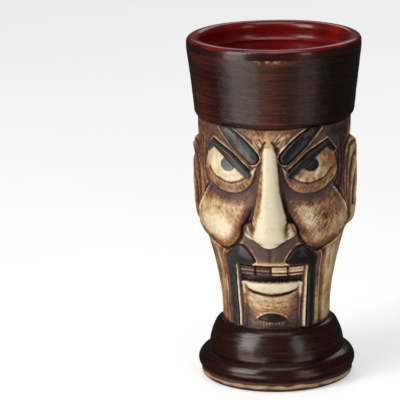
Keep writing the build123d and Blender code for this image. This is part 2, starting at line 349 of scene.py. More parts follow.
# ----- the lines of the face (degrees, mm)

POUCH_EDGE = [
    (9.6, 112.5), (10.8, 107), (15, 102.4), (22.5, 99.6),
    (32, 99.1), (40.5, 100.4), (49.5, 103.6), (55.5, 108),
]
EYE_OUTLINE = POUCH_EDGE + [(55, 114), (50.5, 119.5), (44.5, 122), (31, 118), (17, 110.6)]
CREASE = [(15.4, 108.6), (20.3, 105.9), (29, 104.3), (38, 105.6), (43.5, 107.3), (48.5, 110.5)]
CHEEK_EDGE = [
    (12.8, 92), (15.6, 87.6), (19.6, 82.8), (22.6, 78.6), (26.4, 74.9), (31.6, 72), (38, 70.2),
    (45, 70.4), (52, 71.8), (60, 72.9), (68, 74.6), (75, 77.6), (82, 79), (96, 80), (112, 80), (130, 80),
]
NOSE_SHAPE = [  # height, how far it stands out, half width
    (71, 5.6, 5.6), (74, 6.6, 6.8), (79, 8.7, 8.8), (86, 8.3, 8.8),
    (97, 6.3, 6.6), (110, 4.1, 4.9), (119, 2.6, 3.9), (124.5, 0.4, 1.9),
]
NOSE_RIDGE_EDGE = [(78, -9.5), (86, -7.2), (91, -5.7), (96, -4.4), (101, -3.5), (120, -3)]  # height, degrees
NOSE_CREASE = [(6.4, 121.5), (7.6, 117), (8.6, 110), (9.4, 103), (10.6, 96), (12.4, 90)]
BRIDGE_NOTCH = [(2.4, 124.8), (3.8, 123.6), (5.4, 120.6)]
NOSE_FOOT = [(0, 72.2), (4, 72.8), (9.5, 74.6), (14.5, 76.6), (18.2, 78.2)]
WING_EDGE = [
    (12.4, 87), (15.8, 84.8), (18, 81.4), (18.8, 78.8), (15.6, 77), (9.5, 74.6), (4, 72.9), (0, 72.3),
]
LIP_FOOT = [(0, 47.2), (9, 47.5), (18, 48.4), (25, 49.8), (30, 51.8)]
OUTER_WRINKLE = [(54, 101.5), (60, 97.6), (66, 92.8), (71, 87.6)]
TEMPLE_WRINKLES = [
    [(57.5, 121), (59.5, 113), (58.5, 105.5), (54.5, 101)],
    [(62, 124), (64.5, 114), (63.5, 104), (59, 97)],
]
EAR_OUTLINE = [
    (71, 116), (78, 119.5), (90, 120), (101, 116.5), (106.5, 108), (106, 97), (101, 86),
    (92, 79), (82, 77), (75, 79.5), (72, 86), (70.5, 96), (70, 107), (71, 116),
]
EAR_GROOVES = [
    [(73.5, 84), (72.4, 96), (72.6, 108), (76, 116.5), (86, 118.5), (97, 114.5), (101.5, 104), (98, 90)],
    [(78, 83), (77, 95), (78, 106), (84, 112), (92, 110), (95, 101), (92, 91)],
    [(83, 88), (83, 97), (86, 103)],
]

CHIN_PANEL_EDGE = 31.6  # degrees: the mouth's corner, and the groove that runs down beside the chin
CHIN_STRIP_MIDDLE = 34.2
FRAME_WIDTH = 3.3  # mm, from the moustache's edge to the bright line outside it
MOUTH_FOOT = 53.4
MOUTH_DEPTH = 2.1
NOSE_BRIDGE = 123
RISE_SLANT, FALL_SLANT = 50, 42  # degrees that the hatching climbs or drops outwards
CHIN_BOW = 0.016  # how much the chin's hatching curves down towards the sides, per mm

INKS = ("rise_ink", "fall_ink", "level_ink")


class Skin:
    """The head's surface as heights over the plain form, with what the stain and the painted shade do on it.
    """

    def __init__(self):
        self.height = np.zeros(Z.shape)
        self.stain_and_shade = np.full(Z.shape, 0.2)  # how much brown stain, and painted shade, lies on the cream
        self.rise_ink = np.full(Z.shape, 0.32)  # how strong the hatching is that climbs outwards
        self.fall_ink = np.full(Z.shape, 0.12)  # and the hatching that drops outwards
        self.level_ink = np.zeros(Z.shape)  # and the hatching that lies level
        self.mauve = np.zeros(Z.shape)  # where the stain turns purplish

    def paint(self, mask, amount):
        """Moves the stain, which also holds painted shade, towards the amount where the mask is 1."""
        self.stain_and_shade = self.stain_and_shade * (1 - mask) + amount * mask

    def settle(self, mask, height):
        """Moves the surface towards the height where the mask is 1."""
        self.height = self.height * (1 - mask) + height * mask

    def calm(self, mask, *inks):
        """Takes hatching away where the mask is 1: the named inks, or all of them."""
        for ink in inks or INKS:
            setattr(self, ink, getattr(self, ink) * (1 - mask))

    def bead(self, gap, width, stand, where=1):
        """Raises a rounded bead where the gap is 0."""
        self.height += stand * hump(gap, width) * where

    def cut(self, gap, width, depth, where=1):
        """Sinks a rounded groove where the gap is 0."""
        self.bead(gap, width, -depth, where)

    def stain(self, gap, width, strength, amount, where=1):
        """Paints a soft line where the gap is 0."""
        self.paint(strength * hump(gap, width) * where, amount)


def masses(skin):
    """The large forms: forehead, cheeks, chin and the soft hollows between them."""
    forehead = 0.9 * zone(0, 128, 15, 12)
    chin = zone(0, 41, 15, 11)
    gap, side = from_line(CHEEK_EDGE)
    above = np.where((OUT < 12.8) & (Z < 92), 0, side > 0)
    above = np.where((gap >= FAR) & (Z < 70), 0, above)
    above = np.where((gap >= FAR) & (Z > 80), 1, above)
    roll = quarter_round(gap / 3.6)
    fade_up = 1 - 0.86 * up(82, 98)
    fade_back = 1 - out(80, 108)
    near_nose = out(11, 22) * 0.75 + 0.25
    cheek = 3 * roll * fade_up * fade_back * near_nose * above
    skin.height += forehead + chin + cheek
    skin.height -= 0.9 * zone(11.5, 104, 3.6, 13)
    skin.height -= 0.7 * zone(30, 95.5, 17, 4.2)
    skin.cheek_gap = np.where(above > 0.5, gap, -gap)


def cheek_fold(skin):
    """The undercut line below each cheek with a thin bright rim beyond it, and the lower edge darkened with
    stain and painted shadow.
    """
    gap = skin.cheek_gap
    reach = 1 - out(74, 86)
    skin.cut(gap + 0.5, 0.55, 1.1, reach)
    skin.bead(gap + 1.9, 0.55, 0.5, reach * out(24, 30))
    # Stain and painted shadow: the cheek darker where it rolls under, and a dark line in the undercut.
    skin.paint(0.85 * step(6, 1.4, gap) * (gap > 0) * reach, 0.6)
    skin.stain(gap + 0.45, 0.8, 1, 1, reach)
    skin.stain(gap + 1.9, 0.5, 0.6, 0.16, reach * out(24, 30))


def cheek_paint(skin):
    """Polished cream on the cheeks' roundness, more of it on the figure's right, and hatching on its left."""
    polished = zone(42, 82, 15, 9.5)
    skin.paint(0.95 * polished * RIGHT, -0.04)
    skin.paint(0.55 * zone(24, 86, 8, 6) * RIGHT, 0.22)
    skin.paint(0.75 * zone(47, 82, 12, 9) * LEFT, 0.2)
    skin.paint(0.8 * zone(48, 92, 17, 9) * LEFT, 0.36)
    skin.paint(0.9 * zone(25, 87, 9, 8.5) * LEFT, 0.02)
    hatched = zone(34, 86, 21, 12)
    skin.rise_ink += 0.1 * hatched * RIGHT + 0.34 * hatched * LEFT
    skin.fall_ink += 0.22 * hatched * LEFT
    skin.calm(0.85 * polished * RIGHT, "rise_ink")


def eyes(skin):
    """A domed eyeball and a pouch with a crisp lower edge, a dark hollow round it, and a broken crease."""
    eye_gap = loop_gap(ROUND, Z, drawn(EYE_OUTLINE + EYE_OUTLINE[:1]))
    dome = 1.5 + 1.1 * step(0, 8, eye_gap)
    edge = step(-0.7, 0.9, eye_gap)
    skin.settle(edge, dome)
    edge_gap, _ = from_line(POUCH_EDGE)
    outside = np.where(eye_gap < 0, -eye_gap, 0)
    skin.cut(edge_gap - 0.9, 0.9, 0.9, eye_gap < 0)
    crease_gap, _ = from_line(CREASE)
    broken = 0.45 + 0.55 * (np.sin(ROUND * 4.2) > -0.35)
    skin.cut(crease_gap, 0.42, 0.42, broken)
    pouch = step(0, 1, eye_gap) * step(0.2, 1.6, crease_gap) * (Z < 112)
    low_line = height_of(CREASE)
    pouch = pouch * up(low_line + 0.6, low_line - 0.6)
    skin.height += 0.55 * pouch * hump(eye_gap - 2.2, 1.9)
    lower_half = up(118, 106)
    near_eye = (outside > 0) * lower_half * out(60, 50) * up(92, 97)
    skin.paint(0.55 * step(9, 3, outside) * near_eye, 0.56)
    skin.paint(0.85 * step(5.5, 0.8, outside) * near_eye, 0.68)
    skin.rise_ink += 0.35 * step(9, 2, outside) * near_eye
    skin.mauve += 0.75 * step(8, 2, outside) * near_eye
    skin.paint(edge, 0.11)
    mottle = unit(0.5 + 0.9 * ripple(15, ANGLE, Z, 70, 1.3, 20))
    # Painted shade: the eye on the figure's left, away from the light, is darker, with mottling, and darker
    # still at its outer upper corner.
    skin.paint(edge * LEFT * 0.9, 0.17 + 0.22 * mottle)
    skin.paint(0.75 * edge * LEFT * out(34, 48) * up(104, 113), 0.56)
    skin.paint(0.6 * edge * RIGHT * out(42, 53), 0.36)
    skin.paint(0.9 * pouch, 0.42)
    skin.stain(crease_gap, 0.5, 0.8, 0.95, broken)
    skin.stain(eye_gap - 0.2, 0.5, 0.7, 0.55, lower_half)
    skin.rise_ink = skin.rise_ink * (1 - edge) + 0.5 * pouch
    skin.fall_ink = skin.fall_ink * (1 - edge) + 0.1 * edge * LEFT
    skin.stain(from_outline("pupil") + 0.5, 0.45, 0.85, 0.02, RIGHT)
    skin.eye_gap = eye_gap


def nose(skin):
    """A long ridge from a pinched bridge to a ball tip, with a wing on each side."""
    heights, stands, halves = np.transpose(NOSE_SHAPE)
    across = ROUND / np.interp(Z, heights, halves)
    sunk = 0.8  # each form starts this far under the skin, so that blending leaves nothing beyond it
    ridge = (np.interp(Z, heights, stands) + sunk) * unit(1 - across**2.4) ** 0.72 - sunk
    tip = 9.7 * unit(1 - (ROUND / 8.8) ** 2.2 - ((Z - 80) / 8.2) ** 2) ** 0.62 - sunk
    wing_out = beyond(14.2)
    wing = 5.8 * unit(1 - (wing_out / 4.3) ** 2 - ((Z - 80.6) / 5.4) ** 2) ** 0.6 - sunk
    mass = blend_max(blend_max(ridge, tip, 1.1), wing, 1.6)
    foot = height_of(NOSE_FOOT)
    on_nose = step(-0.9, 1, Z - foot) * up(NOSE_BRIDGE + 2, NOSE_BRIDGE - 1.5)
    mass = mass * on_nose - 3 * (1 - on_nose)
    reach = step(0, 0.5, mass)
    skin.height = blend_max(skin.height, mass, 0.8 * reach + 0.05)
    nostril = hump(np.hypot((ROUND - 4.6) / 2.6, (Z - 75) / 1), 1)
    skin.height -= 1 * nostril
    wing_gap, _ = from_line(WING_EDGE)
    groove = hump(wing_gap, 0.4) * (1 - 0.45 * up(80, 84))
    skin.height -= 0.6 * groove
    nose_on = step(0.3, 1.3, mass)
    skin.paint(nose_on, 0.02)
    ridge_edge = np.interp(Z, *np.transpose(NOSE_RIDGE_EDGE))
    left_flank = nose_on * step(0.8, -1.6, TURN - ridge_edge) * up(121, 117) * up(76, 84)
    skin.paint(0.9 * left_flank, 0.34 + 0.1 * up(88, 100))
    skin.paint(0.8 * nose_on * zone(15.5, 81, 4, 6.5), 0.4)
    skin.paint(0.8 * nose_on * zone(12.5, 84, 4.4, 9) * LEFT, 0.26)
    skin.paint(0.6 * nostril, 0.6)
    skin.paint(0.8 * groove, 0.8)
    hatch = 0.8 * left_flank + 0.5 * nose_on * zone(15.5, 81, 4.5, 7.5)
    skin.rise_ink = skin.rise_ink * (1 - nose_on) + hatch
    skin.calm(nose_on, "fall_ink")


def bridge(skin):
    """A dark crease beside the nose on the figure's left, darkened with stain and painted shadow, soft stain
    on its right, and the bridge's notch.
    """
    gap, _ = from_line(NOSE_CREASE)
    fade = up(88, 93)
    skin.cut(gap, 0.8, (0.25 + 0.5 * LEFT), fade)
    skin.paint(0.8 * zone(12, 103, 4.8, 11), 0.5 + 0.14 * LEFT)
    # Stain and painted shadow: the crease on the figure's left, away from the light, is much darker than on
    # the right.
    skin.stain(gap, 0.9, 0.95, 0.88, fade * LEFT)
    skin.stain(gap, 0.8, 0.6, 0.58, up(92, 100) * RIGHT)
    notch, _ = from_line(BRIDGE_NOTCH)
    skin.cut(notch, 0.5, 0.4)
    skin.stain(notch, 0.45, 0.85, 0.86)


def upper_lip(skin):
    """The smooth stained field under the nose, its centre groove, and the tan band above the mouth."""
    foot = height_of(NOSE_FOOT)
    field = step(1, -0.6, Z - foot) * up(MOUTH_TOP - 0.4, MOUTH_TOP + 0.6) * out(24, 20)
    skin.height += 0.9 * field * out(22, 8)
    skin.cut(ROUND, 0.9, 0.9, up(63.5, 66.5) * up(73, 71))
    band = hump(Z - 63.2, 1.5) * out(20, 16)
    skin.height += 0.35 * band
    skin.paint(0.95 * field, 0.62)
    skin.paint(0.9 * band, 0.34)
    skin.stain(ROUND, 0.7, 0.9, 0.95, up(63.5, 66.5) * up(73, 71))
    skin.mauve = np.maximum(skin.mauve, field * (1 - 0.8 * band))
    skin.calm(0.8 * field, "rise_ink")
    skin.calm(field, "fall_ink", "level_ink")


def moustache_frame(skin):
    """The moat round each moustache half, the raised stained border outside it, and its bright line."""
    gap = -from_outline("moustache")
    outer = out(20, 26) * (gap > 0) * (skin.cheek_gap < 0)
    lower = up(78, 74)
    border = step(0.5, 1.2, gap) * step(FRAME_WIDTH + 0.3, FRAME_WIDTH - 0.5, gap) * outer
    skin.height += 1.1 * border * lower
    skin.cut(gap - 0.25, 0.45, 0.8)
    skin.bead(gap - FRAME_WIDTH - 0.5, 0.45, 0.55, outer * lower)
    skin.cut(gap - FRAME_WIDTH - 1.5, 0.5, 0.35, outer * lower)
    inner = (gap > 0) * out(33, 29) * (Z > MOUTH_TOP + 0.4)
    skin.bead(gap - 1.3, 0.5, 0.4, inner)
    stained = step(0, 0.4, gap) * step(FRAME_WIDTH + 0.2, FRAME_WIDTH - 0.4, gap) * outer
    stained = stained * (1 - 0.8 * LEFT * up(56, 44) * step(0.8, 1.8, gap))
    skin.paint(0.92 * stained, 0.66)
    skin.mauve = np.maximum(skin.mauve, 0.8 * stained)
    skin.stain(gap - FRAME_WIDTH - 0.5, 0.45, 0.9, 0.06, outer)
    blotch = step(FRAME_WIDTH + 1, FRAME_WIDTH + 1.8, gap) * step(8.4, 6.4, gap) * outer
    skin.paint(0.8 * blotch, 0.5)
    tail = up(64, 58)
    quiet = np.maximum(tail, step(0, 0.3, gap) * out(31, 35))
    skin.stain(gap - 0.1, 0.4 - 0.12 * quiet, (0.85 - 0.35 * quiet), 0.95 - 0.25 * quiet)
    skin.stain(gap - 1.3, 0.35, 0.6, 0.1, inner * (Z < 71))
    skin.calm(stained, "rise_ink")


def mouth(skin):
    """A box-shaped opening with a ragged lower edge, and the bright lower lip under it."""
    ragged = 0.16 * ripple(5, ANGLE, Z * 0, 120, 0, 20)
    pocket = out(CHIN_PANEL_EDGE + 0.6, CHIN_PANEL_EDGE - 0.8)
    pocket = pocket * step(MOUTH_FOOT - 0.4, MOUTH_FOOT + 0.5, Z + ragged)
    pocket = pocket * up(MOUTH_TOP + 0.4, MOUTH_TOP - 0.4)
    foot = height_of(LIP_FOOT)
    on_lip = step(-0.3, 0.9, Z - foot) * out(30.5, 27.5) * (Z < MOUTH_FOOT + 0.8)
    rise = unit((Z - foot) / (MOUTH_FOOT - foot + 0.01))
    lip = 2.1 * np.sin(np.clip(rise * 2.3, 0, pi)) ** 0.7
    lip = lip * out(30, 15) * on_lip
    skin.height = blend_max(skin.height, lip, 0.3)
    under = hump(Z - foot + 0.7, 0.6) * out(29, 18)
    skin.height -= 0.9 * under
    skin.settle(pocket, -MOUTH_DEPTH)
    skin.paint(on_lip * 0.95, 0)
    skin.paint(0.6 * on_lip * out(21, 27), 0.34)
    skin.paint(0.95 * under, 0.9)
    skin.paint(pocket, 0.9)
    edge = hump(Z - MOUTH_TOP - 0.2, 0.45) * (OUT < CHIN_PANEL_EDGE + 0.6)
    skin.paint(0.85 * edge, 0.92)
    clear = unit(pocket + on_lip)
    skin.calm(clear)


def chin(skin):
    """The panel below the lip with level hatching, and the bright strips down its sides."""
    below = up(MOUTH_TOP + 0.6, MOUTH_TOP - 0.6)
    panel = out(CHIN_PANEL_EDGE, CHIN_PANEL_EDGE - 2) * up(MOUTH_FOOT, MOUTH_FOOT - 4)
    low = up(42, 31)
    aside = out(12, 29)
    skin.paint(0.9 * panel * up(48, 45), 0.15 + 0.36 * low + 0.22 * aside + 0.1 * LEFT)
    skin.level_ink = np.maximum(skin.level_ink, panel * (0.5 + 0.25 * low) * up(48.5, 46))
    skin.calm(panel, "fall_ink", "rise_ink")
    skin.paint(0.65 * zone(13, 43, 10, 5) * RIGHT * panel, 0.05)
    skin.paint(0.45 * zone(6, 44, 9, 4) * panel, 0.08)
    side_line = beyond(CHIN_PANEL_EDGE)
    strip_line = beyond(CHIN_STRIP_MIDDLE)
    skin.cut(side_line, 0.5, 0.7, below)
    skin.bead(strip_line, 0.8, 0.5, below)
    skin.stain(side_line, 0.45, 0.8, 0.85, below)
    skin.stain(strip_line, 0.75, 0.9, 0.1, below)
    foot_line = Z - HEAD_FOOT
    skin.paint(0.7 * step(2.6, 0.3, foot_line), 0.8)
    dashes = (np.sin(TURN * 1.9) > 0.1) * hump(Z - 31.9, 0.55) * out(14, 11)
    skin.height += 0.35 * dashes
    skin.paint(0.55 * dashes, 0.15)


def patch_moat(skin):
    """A shallow moat and a thin ridge round the small beard under the lip."""
    gap = -from_outline("soul_patch")
    skin.cut(gap - 0.2, 0.4, 0.45)
    skin.bead(gap - 1.1, 0.4, 0.35, (Z > 34.5))
    skin.stain(gap - 0.1, 0.45, 0.8, 0.95)
    skin.stain(gap - 1.1, 0.4, 0.5, 0.12, (Z > 34.5))


def brows_and_lids(skin):
    """Moats round the black brows and lids, each with a bright bead beyond."""
    for feature, reach in (("eyebrow", 1), ("upper_lid", 0.95)):
        gap = -from_outline(feature)
        outside = gap > 0
        on_eye = step(-0.5, 0.8, skin.eye_gap) if feature == "upper_lid" else 0
        skin.cut(gap - 0.2, 0.42, 0.75, (1 - on_eye))
        skin.bead(gap - reach - 0.15, 0.42, 0.75, outside * (1 - on_eye))
        around = 0.8 * hump(gap - 1.2, 2.4) * outside * (1 - on_eye) * (OUT > 12)
        skin.paint(around, 0.64)
        skin.mauve = np.maximum(skin.mauve, 0.7 * around)
        skin.stain(gap - reach - 0.15, 0.28, 0.8, 0.16, outside * (1 - on_eye))
        skin.stain(gap - 0.05, 0.38, 0.95, 0.96, (1 - 0.4 * on_eye))


def temples(skin):
    """Stained temples with curved wrinkles at the eye's outer corner, and the long line to the ear."""
    skin.paint(0.9 * zone(60, 120, 16, 22), 0.56 + 0.16 * LEFT)
    skin.paint(0.8 * zone(58, 101, 9, 11), 0.5 + 0.22 * LEFT)
    skin.rise_ink += 0.22 * zone(60, 112, 14, 20)
    for line in TEMPLE_WRINKLES:
        gap, _ = from_line(line)
        skin.cut(gap, 0.55, 0.4)
        skin.bead(gap - 1.2, 0.6, 0.25)
        skin.stain(gap, 0.5, 0.65, 0.85)
    gap, side = from_line(OUTER_WRINKLE)
    skin.cut(gap, 0.7, 0.6)
    skin.bead(gap - 1.5, 0.8, 0.4, (side < 0))
    skin.stain(gap, 0.6, 0.75, 0.88)
    skin.stain(gap - 1.5, 0.6, 0.5, 0.08, (side < 0))


def forehead(skin):
    """Cream between the brows, streaked with slanting hatching, with a painted shadow just under the hat."""
    skin.paint(0.65 * zone(0, 126, 13, 8), 0.24)
    skin.paint(0.75 * zone(0, 121, 6, 7), 0.1)
    skin.rise_ink += 0.75 * zone(0, 127, 16, 9)
    # Painted shadow of the hat's brim on the forehead.
    painted_hat_shadow = step(127.5, 131, Z + 0.05 * np.minimum(OUT, 60))
    skin.paint(0.7 * painted_hat_shadow, 0.62)


def ears(skin):
    """A flat ear on each side with curved grooves."""
    gap = loop_gap(ROUND, Z, drawn(EAR_OUTLINE))
    on_ear = step(-1.6, 2.2, gap)
    stand = 1.3 + 2.1 * out(70, 90) - 1.1 * RIGHT * out(92, 78)
    skin.settle(on_ear, stand)
    skin.cut(gap + 1.2, 0.8, 0.6)
    skin.paint(0.85 * on_ear, 0.3 + 0.24 * RIGHT * out(94, 80))
    for line, width, stain in zip(EAR_GROOVES, (0.9, 1.9, 1.3), (0.62, 0.46, 0.52)):
        groove, _ = from_line(line)
        skin.cut(groove, width, 1.1)
        skin.stain(groove, width, 0.65, stain)
    skin.stain(gap + 1.1, 0.8, 0.6, 0.6)
    skin.calm(0.8 * on_ear, "rise_ink")


def jaw_sides(skin):
    """Smooth cream down the jaw's sides with a few stained blotches."""
    jaw = out(50, 56) * up(70, 66) * out(112, 90)
    skin.paint(0.7 * jaw, 0.13 + 0.1 * out(60, 78))
    blotches = unit(ripple(11, ANGLE, Z, 40, 0.35, 16) - 0.2)
    strip = out(47, 52) * out(74, 56) * up(70, 66)
    skin.paint(unit(1.3 * strip * blotches), 0.58)
    bare_line = RIGHT * out(49.5, 51.5) * out(59, 56.5) * up(68, 62)
    beside = RIGHT * out(57.5, 60) * out(84, 70) * up(70, 66)
    skin.paint(0.7 * beside, 0.36)
    skin.paint(np.clip(2.4 * beside * blotches, 0, 0.9), 0.5)
    streaks = unit(1.6 * ripple(12, ANGLE, Z, 170, 0.22, 22) - 0.25)
    streaked = out(47, 50) * out(86, 54) * up(72, 66)
    skin.height -= 0.16 * streaks * streaked
    skin.paint(0.75 * streaks * streaked, 0.56)
    skin.height += 0.25 * bare_line
    skin.paint(0.88 * bare_line, 0.05)
    skin.calm(0.7 * jaw, "rise_ink")


def back(skin):
    """Behind the ears: soft upright flutes, darker in their hollows with stain and painted shade."""
    behind = out(104, 116)
    flutes = ripple(61, ANGLE, Z, 34, 0.035, 14)
    fade = up(HEAD_FOOT, HEAD_FOOT + 8) * up(HEAD_TOP, HEAD_TOP - 5)
    skin.height += 0.34 * flutes * behind * fade
    skin.paint(0.6 * behind, 0.3)
    skin.calm(0.6 * behind, "rise_ink")


def unevenness(skin):
    """The slight waviness of hand-finished clay."""
    skin.height += 0.07 * ripple(21, ANGLE, Z, 46, 0.9, 18) + 0.1 * ripple(22, ANGLE, Z, 12, 0.18, 8)


def seat(skin):
    """The relief dies away where the head meets the hat and the base."""
    fade = step(0, 1.2, Z - HEAD_FOOT) * step(0, 0.8, HEAD_TOP - Z)
    skin.height *= fade
    skin.calm(1 - step(0.6, 3.5, ROUND) * out(179, 168), "rise_ink", "fall_ink")


def sculpted_skin():
    """Every feature in turn. Later ones lie over earlier ones."""
    skin = Skin()
    features = (
        masses, forehead, temples, cheek_paint, eyes, jaw_sides, cheek_fold, nose, bridge, upper_lip,
        moustache_frame, mouth, chin, patch_moat, brows_and_lids, ears, back, unevenness, seat,
    )
    for feature in features:
        feature(skin)
    # Darker in the hollows and lighter on the ridges of the relief: partly stain lying in the hollows, partly
    # painted shade and light.
    hollow = blurred(skin.height, 2.2) - skin.height
    broad = blurred(skin.height, 6) - skin.height
    skin.stain_and_shade += 0.75 * np.clip(hollow, 0, 0.6) + 0.1 * unit(broad)
    skin.stain_and_shade -= 0.55 * np.clip(-hollow, 0, 0.5)
    soft_side = RIGHT * zone(10, 103, 7, 19)
    skin.stain_and_shade -= 0.85 * soft_side * unit(skin.stain_and_shade - 0.58)
    skin.stain_and_shade = np.clip(blurred(skin.stain_and_shade, 0.5), -0.1, 1.1)
    return skin


# ----- meshes


def link(thing):
    bpy.context.scene.collection.objects.link(thing)
    return thing


def mesh_object(name, vertices, faces, fields=None, sharp=40):
    """A smooth-shaded mesh from places in mm, with named numbers on its points."""
    mesh = bpy.data.meshes.new(name)
    mesh.from_pydata((np.asarray(vertices) * MM).tolist(), [], faces)
    mesh.validate()
    mesh.polygons.foreach_set("use_smooth", np.ones(len(mesh.polygons), bool))
    for field, values in (fields or {}).items():
        values = np.asarray(values, np.float32)
        if values.size == len(mesh.vertices):
            attribute = mesh.attributes.new(field, "FLOAT", "POINT")
            attribute.data.foreach_set("value", values.ravel())
        else:
            attribute = mesh.attributes.new(field, "FLOAT_VECTOR", "POINT")
            pairs = values.reshape(-1, 2)
            attribute.data.foreach_set("vector", np.column_stack([pairs, np.zeros(len(pairs))]).ravel())
    mesh.set_sharp_from_angle(angle=radians(sharp))
    mesh.update()
    return link(bpy.data.objects.new(name, mesh))


def round_axis(turn, radius, height):
    """Places from angles round the mug in radians, radii and heights."""
    return np.stack([radius * np.sin(turn), -radius * np.cos(turn), height], -1).reshape(-1, 3)


def tube_faces(rows, columns, closed_rows):
    """Quads of a grid that wraps round its columns and, if asked, round its rows too."""
    row = np.arange(rows if closed_rows else rows - 1)[:, None]
    column = np.arange(columns)[None, :]
    onward = (row + 1) % rows
    beside = (column + 1) % columns
    corners = ((row, column), (row, beside), (onward, beside), (onward, column))
    quads = np.broadcast_arrays(*[a * columns + b for a, b in corners])
    return np.stack(quads, -1).reshape(-1, 4).tolist()


def stroke_directions():
    """For each hatching, how far every point lies along and across its strokes, in mm."""
    rise, fall = radians(RISE_SLANT), radians(FALL_SLANT)
    bowed = Z - CHIN_BOW * ROUND**2
    apart = 300 * LEFT  # so that the two sides' strokes aren't mirror images
    return {
        "rise": (ROUND * cos(rise) + Z * sin(rise) + apart, Z * cos(rise) - ROUND * sin(rise)),
        "fall": (ROUND * cos(fall) - Z * sin(fall) + apart, Z * cos(fall) + ROUND * sin(fall)),
        "level": (ROUND * np.sign(TURN), bowed),
    }


def head_skin():
    """The whole head as one closed shell: sculpted outside, plain where the hat and the base hide it."""
    skin = sculpted_skin()
    radius = head_radius(Z) + skin.height
    hidden = finer(HEAD_HIDDEN, 9, closed=False)
    turn = np.radians(np.vstack([turn_grid, np.tile(TURNS, (len(hidden), 1))]))
    radius = np.vstack([radius, np.tile(hidden[:, :1], (1, len(TURNS)))])
    height = np.vstack([Z, np.tile(hidden[:, 1:], (1, len(TURNS)))])
    places = round_axis(turn, radius, height)
    plain = np.zeros((len(hidden), len(TURNS)))
    fields = {"stain_and_shade": np.vstack([skin.stain_and_shade, plain + 0.3])}
    for name in INKS + ("mauve",):
        fields[name] = np.vstack([unit(getattr(skin, name)), plain])
    for name, (along, across) in stroke_directions().items():
        fields[name] = np.stack([np.vstack([along, plain]), np.vstack([across, plain])], -1)
    faces = tube_faces(len(height), len(TURNS), True)
    return mesh_object("head_skin", places, faces, fields)


def ring_inside(loop, inset):
    """The outline moved inwards by the inset, without the points that crossing folds would leave."""
    ahead, behind = np.roll(loop, -1, 0), np.roll(loop, 1, 0)
    along = ahead - behind
    along /= np.linalg.norm(along, axis=1)[:, None] + 1e-12
    area = 0.5 * np.sum(loop[:, 0] * ahead[:, 1] - ahead[:, 0] * loop[:, 1])
    inward = np.column_stack([-along[:, 1], along[:, 0]]) * np.sign(area)
    moved = loop + inward * inset
    return moved[loop_gap(moved[:, 0], moved[:, 1], loop) > 0.93 * inset]


def even_loop(loop, spacing):
    """A closed outline with evenly spaced points."""
    closed = np.vstack([loop, loop[:1]])
    run = np.concatenate([[0], np.cumsum(np.hypot(*np.diff(closed, axis=0).T))])
    count = int(run[-1] / spacing)
    at = np.linspace(0, run[-1], count, endpoint=False)
    return np.column_stack([np.interp(at, run, closed[:, 0]), np.interp(at, run, closed[:, 1])])


def plate(name, feature, side, stand, rounding, root=-1.2, shape=None, stain_and_shade=None, sheen=0):
    """A closed raised piece on the head: the feature's outline, a rounded edge and a shaped top."""
    spacing = 0.36
    loop = even_loop(OUTLINES[feature], spacing)
    rings = [ring_inside(loop, inset) for inset in (0.12 * rounding, 0.4 * rounding, 0.8 * rounding)]
    low, high = loop.min(0), loop.max(0)
    gx, gy = np.meshgrid(np.arange(low[0], high[0], spacing), np.arange(low[1], high[1], spacing))
    inner = np.column_stack([gx.ravel(), gy.ravel()])
    inner = inner[loop_gap(inner[:, 0], inner[:, 1], loop) > 1.05 * rounding]
    flat = np.vstack([loop] + rings + [inner])
    count = len(loop)
    edges = [(i, (i + 1) % count) for i in range(count)]
    points, _, triangles, origins, _, _ = delaunay_2d_cdt(
        [Vector(p) for p in flat], edges, [list(range(count))], 1, 1e-5
    )
    points = np.array(points)
    gap = np.clip(loop_gap(points[:, 0], points[:, 1], loop), 0, None)
    gap[:count] = 0
    top = stand - rounding + rounding * quarter_round(gap / rounding)
    if shape is not None:
        top = top + shape(points[:, 0], points[:, 1], gap)
    over = np.tile(points, (2, 1))
    rise = np.concatenate([top, np.full(len(points), root)])
    radius = head_radius(over[:, 1]) + rise
    turn = side * over[:, 0] / head_radius(over[:, 1])
    places = round_axis(turn, radius, over[:, 1])
    total = len(points)
    faces = [tuple(t) for t in triangles]
    faces += [tuple(total + i for i in reversed(t)) for t in triangles]
    rim = rim_edges(triangles)
    faces += [(b, a, total + a, total + b) for a, b in rim]
    if side < 0:
        faces = [tuple(reversed(f)) for f in faces]
    stain = stain_and_shade(points[:, 0], points[:, 1], gap) if stain_and_shade else np.zeros(total)
    fields = {
        "edge": np.concatenate([np.exp(-gap / 0.5), np.ones(total)]),
        "stain_and_shade": np.concatenate([stain, np.ones(total)]),
        "sheen": np.full(2 * total, sheen),
    }
    return mesh_object(name, places, faces, fields, sharp=60)


def rim_edges(triangles):
    """The directed edges that only one triangle uses."""
    used = set()
    for triangle in triangles:
        ring = list(triangle)
        for a, b in zip(ring, ring[1:] + ring[:1]):
            used.add((a, b))
    return [(a, b) for a, b in used if (b, a) not in used]


def spun(name, outline, columns, shift=None, fields=None, longest=0.8):
    """A ring turned from its outline. shift(turn, radius, height) gives small moves of radius and height."""
    on_axis = outline[:, 0].min() < 0.01
    outline = finer(outline, longest, closed=not on_axis)
    turn = np.linspace(0, 2 * pi, columns, endpoint=False)
    turn, radius = np.meshgrid(turn, outline[:, 0])
    height = np.tile(outline[:, 1:], (1, columns))
    poles = outline[:, 0] < 0.01
    if shift is not None:
        more_radius, more_height = shift(turn, radius, height)
        radius = radius + np.where(poles[:, None], 0, more_radius)
        height = height + np.where(poles[:, None], 0, more_height)
    places = round_axis(turn, radius, height)
    faces = tube_faces(len(outline), columns, not on_axis)
    values = {k: f(turn, radius, height) for k, f in (fields or {}).items()}
    return mesh_object(name, places, faces, values, sharp=30)


